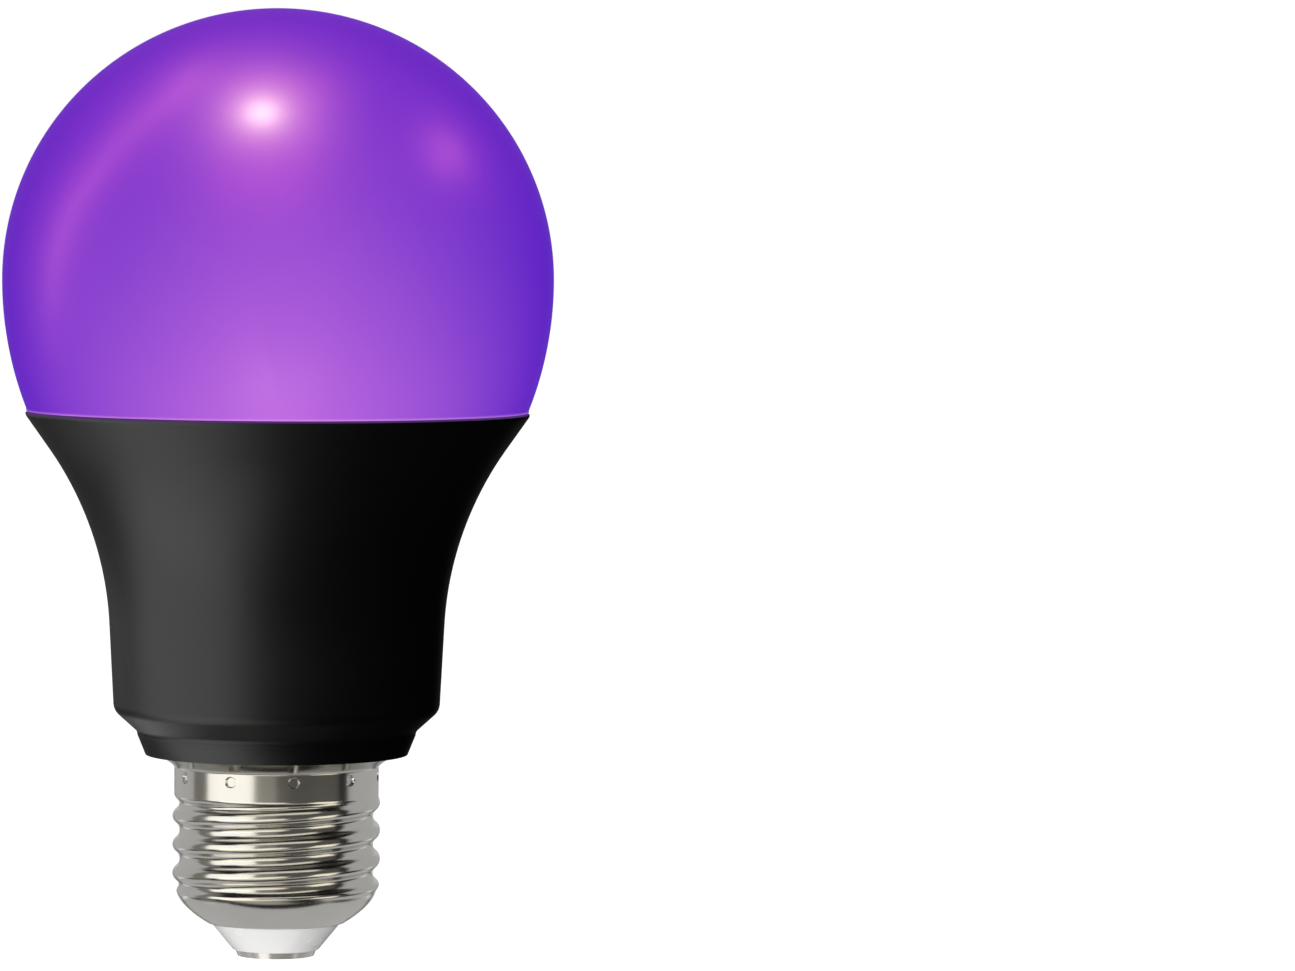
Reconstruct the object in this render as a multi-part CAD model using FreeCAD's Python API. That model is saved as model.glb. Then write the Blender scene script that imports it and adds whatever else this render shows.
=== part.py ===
"""A black light LED bulb: violet globe, flared black housing and a 26 mm screw cap.

The bulb stands on its tip contact. Sizes are in millimetres, Z is the bulb's axis and heights
are counted from the tip contact's face. Each piece of the real bulb is one STEP file in parts/.
"""

import FreeCAD
import Part
import math
import os

Vector = FreeCAD.Vector
axis = Vector(0, 0, 1)
centre = Vector(0, 0, 0)

# Clearances
seat_clearance = 0.1  # between pieces that are pressed or glued together
hole_clearance = 0.05  # round a lead, a pin or a screw

# Roundings
longest_reach = 0.95  # of the two at a run's ends, as a share of the run

# Globe
bulb_length = 119.8
globe_radius = 34.75
equator_rise = 16.6  # of the globe's widest ring, above the seam
globe_wall = 1.3
globe_seat_width = 4.0  # of the globe's flange on the housing's rim
globe_neck_depth = 3.3
globe_foot_rounding = 0.3
snap_bead = 0.25
seal_thickness = 0.8

# Housing
seam_height = 69.0
rim_inset = 2.95  # of the rim, in from the globe's widest ring
rim_rounding = 0.25
lip_height = 0.52
lip_rounding = 0.6
flare_radius = 21.82  # where the flare's two straight ends would meet
flare_angle = 35.14  # of its upper end, to the bulb's axis, in degrees
flare_rounding = 42.5
shoulder_radius = 20.6
shoulder_rise = 2.7  # above the base ring
shoulder_rounding = 2.0
base_ring_radius = 17.6
base_ring_thickness = 2.9
base_ring_fillet = 1.0
base_ring_rounding = 1.0
base_height = 25.6
housing_wall = 1.8
neck_gap = 2.4  # between the neck's end and the insulator
neck_wall = 1.6
rail_depth = 1.3
rail_thickness = 1.1
wire_groove_width = 1.3
wire_groove_depth = 0.9

# Screw cap, a rolled sheet
sheet = 0.3
thread_pitch = 3.629
thread_crest_radius = 13.15
thread_root_radius = 12.25
thread_bottom = 8.0
thread_drop = 5.0  # of the thread's top, below the housing's foot
thread_run_out = 1.3
first_crest = 10.5  # height of the lowest full crest on the side at -X
cap_lip_radius = 8.75
cap_lip_height = 4.25
cap_shoulder_height = 8.6
cap_shoulder_power = 1.8
collar_radius = 12.95
flange_height = 1.5
flange_radius = 15.0
flange_power = 1.4
rows_per_pitch = 10
columns_per_turn = 48
dimple_count = 10
dimple_drop = 2.6  # below the housing's foot
dimple_radius = 0.7
dimple_offset = 0.1  # of a dimple's centre, out from the collar
dimple_turn = 9.6  # of the first dimple to the right of the front, in degrees

# Insulator and tip contact
contact_radius = 5.2
contact_thickness = 0.8
contact_rounding = 0.35
nose_radius = 5.45
stem_radius = 1.5
stem_rise = 1.6  # above the insulator
stem_bore_depth = 3.0
rivet_radius = 2.1
rivet_height = 0.5

# Heat sink and light board
cup_wall = 1.2
cup_rise = 9.6  # of its open end, above the housing's floor
cup_drop = 5.4  # of its closed end, below the seam
cup_rounding = 1.5
cup_port_radius = 4.5
board_margin = 2.0  # inside the globe's neck
board_thickness = 1.6
led_count = 12
led_margin = 10.0  # of the circle of light sources, in from the board's edge
led_size = (3.5, 2.8, 0.8)
led_window_rim = 0.4
led_window_depth = 0.25
screw_count = 3
screw_margin = 4.0  # of the screws' circle, in from the board's edge
screw_turn = 30.0
screw_radius = 1.25
screw_length = 4.2
screw_head_radius = 2.3
screw_head_height = 1.5
screw_head_rounding = 0.6
screw_slot = (3.0, 0.55, 0.8)

# Driver board, upright in the plane y = 0, and the plug that joins it to the light board
driver_thickness = 1.6
driver_side_gap = 5.4  # from its sides to the housing's skin at the shoulder
driver_drop = 6.1  # below the heat sink's closed end
tongue_side_gap = 0.4
tongue_rise = 2.6  # above the neck's end
pin_side = 0.64
pin_spacing = 4.0
pin_overlap = 4.0  # with the driver board
pin_reach = 1.8  # into the socket
socket_size = (8.0, 4.2, 2.4)

# Parts on the driver board; a rise is above the foot of its wide body
part_lift = 0.2
lead_radius = 0.3
lead_bend = 1.2
lead_reach = 0.8  # past the far side of the board
input_can_x = -7.0
input_can_rise = 5.5
input_can_radius = 5.0
input_can_length = 16.0
input_lead_spacing = 5.0
output_can_x = 10.5
output_can_drop = 3.6  # below the board's top
output_can_radius = 3.15
output_can_length = 11.5
output_lead_spacing = 2.5
can_groove_height = 2.2
can_groove_depth = 0.35
can_groove_width = 0.9
can_rounding = 0.5
drum_x = 5.5
drum_rise = 8.0
drum_length = 9.0
drum_core_radius = 2.0
drum_flange_radius = 4.5
drum_flange_thickness = 1.3
drum_lead_spacing = 5.0
winding_radius = 3.8
fuse_x = 5.0
fuse_rise = 3.3  # above the tongue's foot
fuse_radius = 1.6
fuse_length = 7.0
fuse_end_length = 1.6
fuse_waist_depth = 0.25
rectifier_x = -5.0
rectifier_rise = 9.5
rectifier_size = (4.7, 4.0, 2.5)
rectifier_legs = 2
rectifier_leg_pitch = 2.54
chip_x = 3.0
chip_rise = 14.0
chip_size = (4.9, 3.9, 1.45)
chip_legs = 4
chip_leg_pitch = 1.27
leg_width = 0.42
leg_thickness = 0.22
leg_reach = 1.05

# Lead-in wires
wire_radius = 0.4
wire_hole_rise = 2.0  # above the tongue's foot
wire_standoff = 1.5  # of a wire's middle from the face of the board
wire_dip = 1.2  # of the live wire's run to the middle, below the tongue's foot
live_wire_x = 1.5
neutral_wire_x = -6.0
wire_drop = 1.1  # of the neutral wire's lowest run below the neck
wire_groove_reach = 6.1  # of the neutral wire up the groove

# Sizes that follow from the ones above
thread_middle_radius = (thread_crest_radius + thread_root_radius) / 2
thread_depth = (thread_crest_radius - thread_root_radius) / 2
thread_top = base_height - thread_drop
flange_top = base_height - seat_clearance
flange_bottom = flange_top - flange_height
dimple_height = base_height - dimple_drop
insulator_top = thread_bottom
stem_height = insulator_top + stem_rise
neck_bottom = insulator_top + neck_gap
neck_radius = thread_root_radius - sheet - 1.5 * seat_clearance
neck_bore_radius = neck_radius - neck_wall
floor_height = base_height + housing_wall
base_ring_height = base_height + base_ring_thickness
shoulder_height = base_ring_height + shoulder_rise
seam_radius = globe_radius - rim_inset
flare_reach = (seam_radius - flare_radius) / math.tan(math.radians(flare_angle))
flare_height = seam_height - lip_height - flare_reach
globe_equator = seam_height + equator_rise
globe_neck_radius = seam_radius - globe_seat_width
recess_radius = globe_neck_radius + seat_clearance
globe_neck_bottom = seam_height - globe_neck_depth
ledge_height = globe_neck_bottom - seal_thickness
cup_top = seam_height - cup_drop
cup_bottom = floor_height + cup_rise
board_top = cup_top + board_thickness
board_radius = globe_neck_radius - globe_wall - board_margin
led_circle_radius = board_radius - led_margin
screw_circle_radius = board_radius - screw_margin
driver_front = -driver_thickness / 2
driver_back = driver_thickness / 2
driver_half_width = shoulder_radius - driver_side_gap
driver_foot = floor_height + seat_clearance
driver_top = cup_top - driver_drop
tongue_half_width = neck_bore_radius - tongue_side_gap
tongue_bottom = neck_bottom + tongue_rise
pin_bottom = driver_top - pin_overlap
pin_y = driver_front - pin_side / 2
wire_y = driver_front - wire_standoff
wire_hole_height = tongue_bottom + wire_hole_rise
wire_level = tongue_bottom - wire_dip
groove_middle = neck_radius - wire_radius
input_can_place = (input_can_x, driver_foot + input_can_rise)
output_can_place = (output_can_x, driver_top - output_can_drop)
drum_place = (drum_x, driver_foot + drum_rise)
rectifier_place = (rectifier_x, driver_foot + rectifier_rise)
chip_place = (chip_x, driver_foot + chip_rise)
fuse_bottom = tongue_bottom + fuse_rise

# Outline of the housing's skin from its foot to the rim, as radius, height and corner rounding
skin = (
    (collar_radius, base_height, 0),
    (base_ring_radius, base_height, base_ring_rounding),
    (base_ring_radius, base_ring_height, base_ring_fillet),
    (shoulder_radius, shoulder_height, shoulder_rounding),
    (flare_radius, flare_height, flare_rounding),
    (seam_radius, seam_height - lip_height, lip_rounding),
    (seam_radius, seam_height, rim_rounding),
)


def at(radius, height):
    """A point in the XZ half-plane that outlines are drawn in."""
    return Vector(radius, 0, height)


def line(start, end):
    """A straight edge."""
    return Part.LineSegment(start, end).toShape()


def corner_arc(before, corner, after, radius):
    """The arc tangent to both sides of a corner."""
    back = (before - corner).normalize()
    ahead = (after - corner).normalize()
    half = back.getAngle(ahead) / 2
    reach = radius / math.tan(half)
    middle = corner + (back + ahead).normalize() * (radius / math.sin(half) - radius)
    return Part.Arc(corner + back * reach, middle, corner + ahead * reach).toShape()


def fitting(points, roundings):
    """The roundings of an outline, made smaller where a run is too short for those at its ends."""
    runs = [after - before for before, after in zip(points, points[1:])]
    turns = [0, *(before.getAngle(after) for before, after in zip(runs, runs[1:])), 0]
    reaches = [rounding * math.tan(turn / 2) for rounding, turn in zip(roundings, turns)]
    shares = [1.0] * len(points)
    for i, run in enumerate(runs):
        room = longest_reach * run.Length
        wanted = reaches[i] + reaches[i + 1]
        if wanted > room:
            shares[i] = min(shares[i], room / wanted)
            shares[i + 1] = min(shares[i + 1], room / wanted)
    return [rounding * share for rounding, share in zip(roundings, shares)]


def chain(corners):
    """The edges of an open outline through corners of radius, height and rounding."""
    points = [at(radius, height) for radius, height, _ in corners]
    roundings = fitting(points, [rounding for _, _, rounding in corners])
    edges = []
    start = points[0]
    for before, corner, after, rounding in zip(points, points[1:], points[2:], roundings[1:]):
        end = corner
        if rounding > 0:
            arc = corner_arc(before, corner, after, rounding)
            end = arc.valueAt(arc.FirstParameter)
            edges += [line(start, end), arc]
            start = arc.valueAt(arc.LastParameter)
        else:
            edges.append(line(start, end))
            start = corner
    edges.append(line(start, points[-1]))
    return edges


def turned(edges):
    """A solid turned about the bulb's axis from the edges of a closed outline."""
    return Part.Face(Part.Wire(edges)).revolve(centre, axis, 360)


def turned_outline(corners):
    """A solid of revolution through corners of radius, height and rounding, the first one sharp."""
    return turned(chain([*corners, corners[0]]))


def inset(corners, depth):
    """An outline moved in by depth, towards the axis, with its roundings kept concentric."""
    lines = []
    for (r0, z0, _), (r1, z1, _) in zip(corners, corners[1:]):
        length = math.hypot(r1 - r0, z1 - z0)
        aside_r = -(z1 - z0) / length * depth
        aside_z = (r1 - r0) / length * depth
        lines.append((r0 + aside_r, z0 + aside_z, r1 - r0, z1 - z0))
    moved = [(lines[0][0], lines[0][1], 0)]
    for (_, _, rounding), (ar, az, adr, adz), (br, bz, bdr, bdz) in zip(corners[1:], lines, lines[1:]):
        cross = adr * bdz - adz * bdr
        along = ((br - ar) * bdz - (bz - az) * bdr) / cross
        moved.append((ar + adr * along, az + adz * along, max(rounding - math.copysign(depth, cross), 0)))
    last_r, last_z, run_r, run_z = lines[-1]
    moved.append((last_r + run_r, last_z + run_z, 0))
    return moved


def core(depth, low, high):
    """All that lies inside the housing's skin, a depth in from it and between two heights."""
    outline = inset(skin, depth)
    middle = chain([(0, outline[0][1], 0), *outline, (0, outline[-1][1], 0), (0, outline[0][1], 0)])
    return turned(middle).common(rod(seam_radius, low, high))


def tube(points, radius, bend):
    """A round wire through the points, with a bend of one radius at each corner."""
    edges = []
    start = points[0]
    for before, corner, after in zip(points, points[1:], points[2:]):
        arc = corner_arc(before, corner, after, bend)
        edges += [line(start, arc.valueAt(arc.FirstParameter)), arc]
        start = arc.valueAt(arc.LastParameter)
    edges.append(line(start, points[-1]))
    section = Part.Wire(Part.Circle(points[0], points[1] - points[0], radius).toShape())
    return Part.Wire(edges).makePipeShell([section], True, False)


def rod(radius, low, high, x=0, y=0):
    """An upright cylinder between two heights."""
    return Part.makeCylinder(radius, high - low, Vector(x, y, low))


def block(size, x=0, y=0, z=0):
    """A box with the middle of its foot at a point."""
    length, width, height = size
    return Part.makeBox(length, width, height, Vector(x - length / 2, y - width / 2, z))


def around(shape, count, first=0.0):
    """Copies of a shape spaced evenly round the bulb's axis."""
    copies = []
    for i in range(count):
        copy = shape.copy()
        copy.rotate(centre, axis, first + 360 * i / count)
        copies.append(copy)
    return copies


def on_front(shape, place):
    """A part made standing on its foot, laid on the front of the driver board."""
    shape.rotate(centre, Vector(1, 0, 0), 90)
    shape.translate(Vector(place[0], driver_front - part_lift, place[1]))
    return shape


def on_back(shape, place):
    """A part made standing on its foot, laid on the back of the driver board."""
    shape.rotate(centre, Vector(1, 0, 0), -90)
    shape.translate(Vector(place[0], driver_back, place[1]))
    return shape


def smooth(value):
    """A step from 0 to 1 with level ends."""
    value = min(max(value, 0), 1)
    return value * value * (3 - 2 * value)


def knuckle(distance):
    """The rolled thread's wave, from -1 to 1: equal arcs that meet halfway between crest and root."""
    quarter = thread_pitch / 4
    arc_radius = (quarter**2 + thread_depth**2) / (2 * thread_depth)
    place = (distance + quarter) % thread_pitch - quarter
    side = 1
    if place > quarter:
        place -= thread_pitch / 2
        side = -1
    return side * (math.sqrt(arc_radius**2 - place**2) - arc_radius + thread_depth) / thread_depth


def cap_radius(turn, height):
    """The outer radius of the cap's sheet, where turn is the angle from +X as a share of a turn.

    The middle radius falls away below the shoulder as a power of the depth, steps out to the
    collar above the thread and flares above that. The wave climbs one pitch in one turn, and
    fades in and out at its ends.
    """
    radius = thread_middle_radius
    if height < cap_shoulder_height:
        depth = (cap_shoulder_height - height) / (cap_shoulder_height - cap_lip_height)
        radius -= (thread_middle_radius - cap_lip_radius) * depth**cap_shoulder_power
    radius += (collar_radius - radius) * smooth((height - thread_top) / thread_run_out + 1)
    if height > flange_bottom:
        rise = (height - flange_bottom) / (flange_top - flange_bottom)
        radius += (flange_radius - collar_radius) * rise**flange_power
    fade_in = smooth((height - thread_bottom) / thread_run_out)
    fade_out = smooth((thread_top - height) / thread_run_out)
    climb = thread_pitch * (turn - 0.5)
    return radius + thread_depth * fade_in * fade_out * knuckle(height - first_crest - climb)


def cap_inner_radius(turn, height):
    """The inner radius of the cap's sheet, one thickness in from the outer face and square to it."""
    step = sheet / 10
    slope = (cap_radius(turn, height + step) - cap_radius(turn, height - step)) / (2 * step)
    return cap_radius(turn, height) - sheet * math.hypot(1, slope)


def cap_face(radius_at):
    """One side of the cap's sheet: a smooth face through rings at the radius that a function gives."""
    rows = round((flange_top - cap_lip_height) / thread_pitch * rows_per_pitch)
    heights = [cap_lip_height + (flange_top - cap_lip_height) * row / rows for row in range(rows + 1)]
    turns = [column / columns_per_turn for column in range(columns_per_turn + 1)]
    rings = []
    for height in heights:
        points = []
        for turn in turns[:-1]:
            radius = radius_at(turn, height)
            angle = 2 * math.pi * turn
            points.append(Vector(radius * math.cos(angle), radius * math.sin(angle), height))
        ring = Part.BSplineCurve()
        ring.interpolate(Points=points, PeriodicFlag=True, Parameters=turns)
        rings.append(ring)
    ribs = []
    for poles in zip(*(ring.getPoles() for ring in rings)):
        rib = Part.BSplineCurve()
        rib.interpolate(Points=list(poles), Parameters=heights)
        ribs.append(rib)
    surface = Part.BSplineSurface()
    surface.buildFromPolesMultsKnots(
        [list(row) for row in zip(*(rib.getPoles() for rib in ribs))],
        ribs[0].getMultiplicities(),
        rings[0].getMultiplicities(),
        ribs[0].getKnots(),
        rings[0].getKnots(),
        False,
        True,
        ribs[0].Degree,
        rings[0].Degree,
    )
    return surface.toShape()


def rim_wire(face, height):
    """The edge of one of the cap's faces that lies level at a height."""
    for edge in face.Edges:
        if edge.isClosed() and abs(edge.CenterOfMass.z - height) < sheet / 10:
            return Part.Wire(edge)


def cap_shell():
    """The screw cap, one thin sheet with a rolled thread, punched dimples and a flared rim."""
    outer = cap_face(cap_radius)
    inner = cap_face(cap_inner_radius)
    faces = [outer, inner]
    for height in (cap_lip_height, flange_top):
        rims = [rim_wire(outer, height), rim_wire(inner, height)]
        faces.append(Part.makeFace(rims, "Part::FaceMakerBullseye"))
    shell = Part.makeShell(faces)
    shell.sewShape()
    place = Vector(collar_radius + dimple_offset, 0, dimple_height)
    inside = rod(collar_radius - sheet / 2, thread_top, flange_bottom)
    boss = Part.makeSphere(dimple_radius + sheet, place).common(inside)
    dent = Part.makeSphere(dimple_radius, place)
    bosses = Part.makeCompound(around(boss, dimple_count, dimple_turn - 90))
    dents = Part.makeCompound(around(dent, dimple_count, dimple_turn - 90))
    return Part.Solid(shell).fuse(bosses).cut(dents)


def inside_cap(low, high):
    """The curve that runs up the inside of the cap, clear of it, where the cap is round."""
    steps = 8
    points = []
    for step in range(steps + 1):
        height = low + (high - low) * step / steps
        points.append(at(cap_inner_radius(0, height) - seat_clearance, height))
    curve = Part.BSplineCurve()
    curve.interpolate(points)
    return curve


def cap_insulator():
    """The white moulding that closes the cap and carries the tip contact."""
    wall = inside_cap(cap_lip_height, insulator_top)
    hole = stem_radius + hole_clearance
    edges = chain(
        (
            (wall.EndPoint.x, insulator_top, 0),
            (hole, insulator_top, 0),
            (hole, contact_thickness, 0),
            (nose_radius, contact_thickness, 0),
            (wall.StartPoint.x, cap_lip_height, 0),
        )
    )
    return turned([*edges, wall.toShape()])


def tip_contact():
    """The centre contact: a flat head on a hollow stem that is riveted over and grips the live wire."""
    bore = wire_radius + hole_clearance
    bore_bottom = stem_height - stem_bore_depth
    return turned_outline(
        (
            (0, 0, 0),
            (contact_radius, 0, contact_rounding),
            (contact_radius, contact_thickness, 0),
            (stem_radius, contact_thickness, 0),
            (stem_radius, insulator_top, 0),
            (rivet_radius, insulator_top, 0),
            (stem_radius, insulator_top + rivet_height, 0),
            (stem_radius, stem_height, 0),
            (bore, stem_height, 0),
            (bore, bore_bottom, 0),
            (0, bore_bottom, 0),
        )
    )


def globe_arc(radius, reach, height):
    """The globe's outline from the equator to a height, on an ellipse that reaches up or down by reach."""
    middle = at(0, globe_equator)
    side = at(radius, globe_equator)
    pole = at(0, globe_equator + reach)
    if abs(reach) > radius:
        ellipse = Part.Ellipse(pole, side, middle)
    else:
        ellipse = Part.Ellipse(side, pole, middle)
    rise = min((height - globe_equator) / reach, 1)
    end = at(radius * math.sqrt(1 - rise**2), height)
    first = ellipse.parameter(side)
    last = ellipse.parameter(end)
    if (last - first) % (2 * math.pi) > math.pi:
        first, last = last, first
    last = first + (last - first) % (2 * math.pi)
    return Part.ArcOfEllipse(ellipse, first, last).toBSpline().toShape()


def snap_ring(clearance):
    """The low bead round the globe's neck that clicks into a groove of the housing."""
    middle = (seam_height + globe_neck_bottom) / 2
    reach = 2 * snap_bead + clearance
    root = globe_neck_radius - snap_bead
    crest = globe_neck_radius + snap_bead + clearance
    return turned_outline(((root, middle - reach, 0), (crest, middle, 0), (root, middle + reach, 0)))


def diffuser_dome():
    """The globe: one moulded shell, with a flange that sits on the rim and a neck that plugs into it."""
    foot_radius = seam_radius - seat_clearance
    foot_height = seam_height + globe_foot_rounding
    crown = bulb_length - globe_equator
    depth = (globe_equator - foot_height) / math.sqrt(1 - (foot_radius / globe_radius) ** 2)
    flange_top_height = seam_height + globe_wall
    neck_inner = globe_neck_radius - globe_wall
    outer = [
        globe_arc(globe_radius, crown, bulb_length),
        globe_arc(globe_radius, -depth, foot_height),
    ]
    inner = [
        globe_arc(globe_radius - globe_wall, globe_wall - depth, flange_top_height),
        globe_arc(globe_radius - globe_wall, crown - globe_wall, bulb_length - globe_wall),
    ]
    inner_foot = min((vertex.Point for vertex in inner[0].Vertexes), key=lambda point: point.z)
    foot = chain(
        (
            (foot_radius, foot_height, 0),
            (foot_radius, seam_height, 0),
            (globe_neck_radius, seam_height, 0),
            (globe_neck_radius, globe_neck_bottom, globe_foot_rounding),
            (neck_inner, globe_neck_bottom, globe_foot_rounding),
            (neck_inner, flange_top_height, 0),
            (inner_foot.x, flange_top_height, 0),
        )
    )
    top = line(at(0, bulb_length - globe_wall), at(0, bulb_length))
    return turned([*outer, *foot, *inner, top]).fuse(snap_ring(0))


def dome_seal():
    """The bead of silicone between the globe's neck and the housing's ledge."""
    inner = globe_neck_radius - globe_wall
    return turned_outline(
        (
            (inner, ledge_height, 0),
            (globe_neck_radius, ledge_height, 0),
            (globe_neck_radius, globe_neck_bottom, 0),
            (inner, globe_neck_bottom, 0),
        )
    )


def driver_rails():
    """Four ribs in the housing's neck that the driver board's tongue slides between."""
    gap = driver_back + seat_clearance
    height = floor_height - neck_bottom
    neck = rod(neck_bore_radius + neck_wall / 2, neck_bottom, floor_height)
    ribs = []
    for side in (-1, 1):
        for face in (-1, 1):
            x = side * (neck_bore_radius - rail_depth + neck_wall)
            y = face * (gap + rail_thickness / 2)
            ribs.append(block((2 * neck_wall, rail_thickness, height), x, y, neck_bottom).common(neck))
    return ribs


def housing():
    """The moulded body: flared skin, base ring, and a neck that the cap is punched on to."""
    seat = inside_cap(thread_top, flange_top)
    edges = chain(
        (
            (seat.EndPoint.x, flange_top, 0),
            (seat.EndPoint.x, base_height, 0),
            *skin[1:],
            (recess_radius, seam_height, 0),
            (recess_radius, ledge_height, 0),
            (neck_bore_radius, ledge_height, 0),
            (neck_bore_radius, neck_bottom, 0),
            (neck_radius, neck_bottom, 0),
            (neck_radius, thread_top, 0),
            (seat.StartPoint.x, thread_top, 0),
        )
    )
    body = turned([*edges, seat.toShape()]).cut(core(housing_wall, floor_height, ledge_height))
    place = Vector(collar_radius + dimple_offset, 0, dimple_height)
    pocket = Part.makeSphere(dimple_radius + sheet + hole_clearance, place)
    groove_length = wire_groove_reach + wire_radius
    groove = block(
        (2 * wire_groove_depth, wire_groove_width, groove_length), -neck_radius, 0, neck_bottom
    )
    cuts = [snap_ring(seat_clearance), groove, *around(pocket, dimple_count, dimple_turn - 90)]
    return body.fuse(driver_rails()).cut(Part.makeCompound(cuts))


def screw_places():
    """The middles of the light board's screws."""
    place = Part.Vertex(screw_circle_radius, 0, 0)
    return [copy.Point for copy in around(place, screw_count, screw_turn)]


def screw_holes():
    """Rods that cut the screws' holes through the light board and the heat sink."""
    radius = screw_radius + hole_clearance
    return [rod(radius, cup_top - 2 * cup_wall, board_top + cup_wall, p.x, p.y) for p in screw_places()]


def outer_edge(shape, height):
    """The longest edge of a shape that lies level at a height."""
    level = [edge for edge in shape.Edges if abs(edge.CenterOfMass.z - height) < seat_clearance]
    return max(level, key=lambda edge: edge.Length)


def heat_sink_cup():
    """A drawn aluminium cup, upside down in the housing, that cools the light board on its top."""
    depth = housing_wall + seat_clearance
    outside = core(depth, cup_bottom, cup_top)
    outside = outside.makeFillet(cup_rounding + cup_wall, [outer_edge(outside, cup_top)])
    inside = core(depth + cup_wall, cup_bottom, cup_top - cup_wall)
    inside = inside.makeFillet(cup_rounding, [outer_edge(inside, cup_top - cup_wall)])
    port = rod(cup_port_radius, cup_bottom, cup_top)
    return outside.cut(Part.makeCompound([inside, port, *screw_holes()]))


def board_pins(side, low, high):
    """The two square pins between the driver board and the light board."""
    return [block((side, side, high - low), x, pin_y, low) for x in (-pin_spacing / 2, pin_spacing / 2)]


def led_board():
    """The round board that carries the light sources, screwed to the heat sink."""
    holes = [*screw_holes(), *board_pins(pin_side + 2 * hole_clearance, cup_top, board_top)]
    return rod(board_radius, cup_top, board_top).cut(Part.makeCompound(holes))


def led():
    """One light source: a moulded frame with a sunken window."""
    length, width, height = led_size
    window = (length - 2 * led_window_rim, width - 2 * led_window_rim, height)
    x = led_circle_radius
    z = board_top + height - led_window_depth
    return block(led_size, x, 0, board_top).cut(block(window, x, 0, z))


def board_screws():
    """The pan-head screws that hold the light board."""
    head_top = board_top + screw_head_height
    screw = turned_outline(
        (
            (0, board_top - screw_length, 0),
            (screw_radius, board_top - screw_length, 0),
            (screw_radius, board_top, 0),
            (screw_head_radius, board_top, 0),
            (screw_head_radius, head_top, screw_head_rounding),
            (0, head_top, 0),
        )
    )
    length, width, depth = screw_slot
    slots = block((length, width, depth), 0, 0, head_top - depth)
    slots = slots.fuse(block((width, length, depth), 0, 0, head_top - depth))
    screw = screw.cut(slots)
    screw.translate(Vector(screw_circle_radius, 0, 0))
    return Part.makeCompound(around(screw, screw_count, screw_turn))


def board_socket():
    """The light board's two-way socket."""
    slots = board_pins(pin_side + 2 * hole_clearance, board_top, board_top + socket_size[2])
    return block(socket_size, 0, pin_y, board_top).cut(Part.makeCompound(slots))


def output_pins():
    """The driver board's two output pins."""
    return Part.makeCompound(board_pins(pin_side, pin_bottom, board_top + pin_reach))


def lead_places():
    """Every lead's hole through the driver board, as x and z."""
    places = [(fuse_x, fuse_bottom - 2 * lead_bend), (fuse_x, fuse_bottom + fuse_length + 2 * lead_bend)]
    for (x, z), spacing in (
        ((input_can_place[0], input_can_place[1] - 2 * lead_bend), input_lead_spacing),
        (output_can_place, output_lead_spacing),
        (drum_place, drum_lead_spacing),
    ):
        places += [(x - spacing / 2, z), (x + spacing / 2, z)]
    return places


def driver_board():
    """The driver's circuit board: a wide body over a tongue that reaches down into the neck."""
    body = block((2 * driver_half_width, driver_thickness, driver_top - driver_foot), z=driver_foot)
    tongue_length = driver_foot - tongue_bottom
    tongue = block((2 * tongue_half_width, driver_thickness, tongue_length), z=tongue_bottom)
    holes = []
    for x, z in lead_places():
        holes.append(bore_through(lead_radius + hole_clearance, x, z))
    for x in (live_wire_x, neutral_wire_x):
        holes.append(bore_through(wire_radius + hole_clearance, x, wire_hole_height))
    return body.fuse(tongue).removeSplitter().cut(Part.makeCompound(holes))


def bore_through(radius, x, z):
    """A rod that cuts a hole through the driver board."""
    return Part.makeCylinder(radius, 2 * driver_thickness, Vector(x, -driver_thickness, z), Vector(0, 1, 0))


def straight_leads(spacing, rise):
    """Two leads that run from a part's foot through the driver board."""
    low = -part_lift - driver_thickness - lead_reach
    return [rod(lead_radius, low, rise, x) for x in (-spacing / 2, spacing / 2)]


def capacitor_can(radius, length):
    """An electrolytic capacitor's can, standing on its foot: a drawn cup with a rolled groove."""
    low = can_groove_height - can_groove_width / 2
    high = can_groove_height + can_groove_width / 2
    return turned_outline(
        (
            (0, 0, 0),
            (radius, 0, can_rounding),
            (radius, low, 0),
            (radius - can_groove_depth, can_groove_height, can_groove_width / 2),
            (radius, high, 0),
            (radius, length, can_rounding),
            (0, length, 0),
        )
    )


def bent_lead(x, y, height, turn_height):
    """A lead that leaves an upright part at a height, turns, and runs back through the driver board."""
    end = driver_back + lead_reach
    points = [Vector(x, y, height), Vector(x, y, turn_height), Vector(x, end, turn_height)]
    return tube(points, lead_radius, lead_bend)


def input_capacitor():
    """The mains capacitor, a can that lies along the board with its leads bent back."""
    x, z = input_can_place
    y = driver_front - part_lift - input_can_radius
    can = capacitor_can(input_can_radius, input_can_length)
    can.translate(Vector(x, y, z))
    leads = []
    for side in (-1, 1):
        lead_x = x + side * input_lead_spacing / 2
        leads.append(bent_lead(lead_x, y, z + can_rounding, z - 2 * lead_bend))
    return can.fuse(leads)


def output_capacitor():
    """The output capacitor, a small can that stands on the board."""
    can = capacitor_can(output_can_radius, output_can_length)
    return on_front(can.fuse(straight_leads(output_lead_spacing, can_rounding)), output_can_place)


def inductor_core():
    """The inductor's drum core of ferrite, with its two pins."""
    low = drum_flange_thickness
    high = drum_length - drum_flange_thickness
    drum = turned_outline(
        (
            (0, 0, 0),
            (drum_flange_radius, 0, 0),
            (drum_flange_radius, low, 0),
            (drum_core_radius, low, 0),
            (drum_core_radius, high, 0),
            (drum_flange_radius, high, 0),
            (drum_flange_radius, drum_length, 0),
            (0, drum_length, 0),
        )
    )
    pins = straight_leads(drum_lead_spacing, drum_flange_thickness / 2)
    return on_front(drum.fuse(pins), drum_place)


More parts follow.
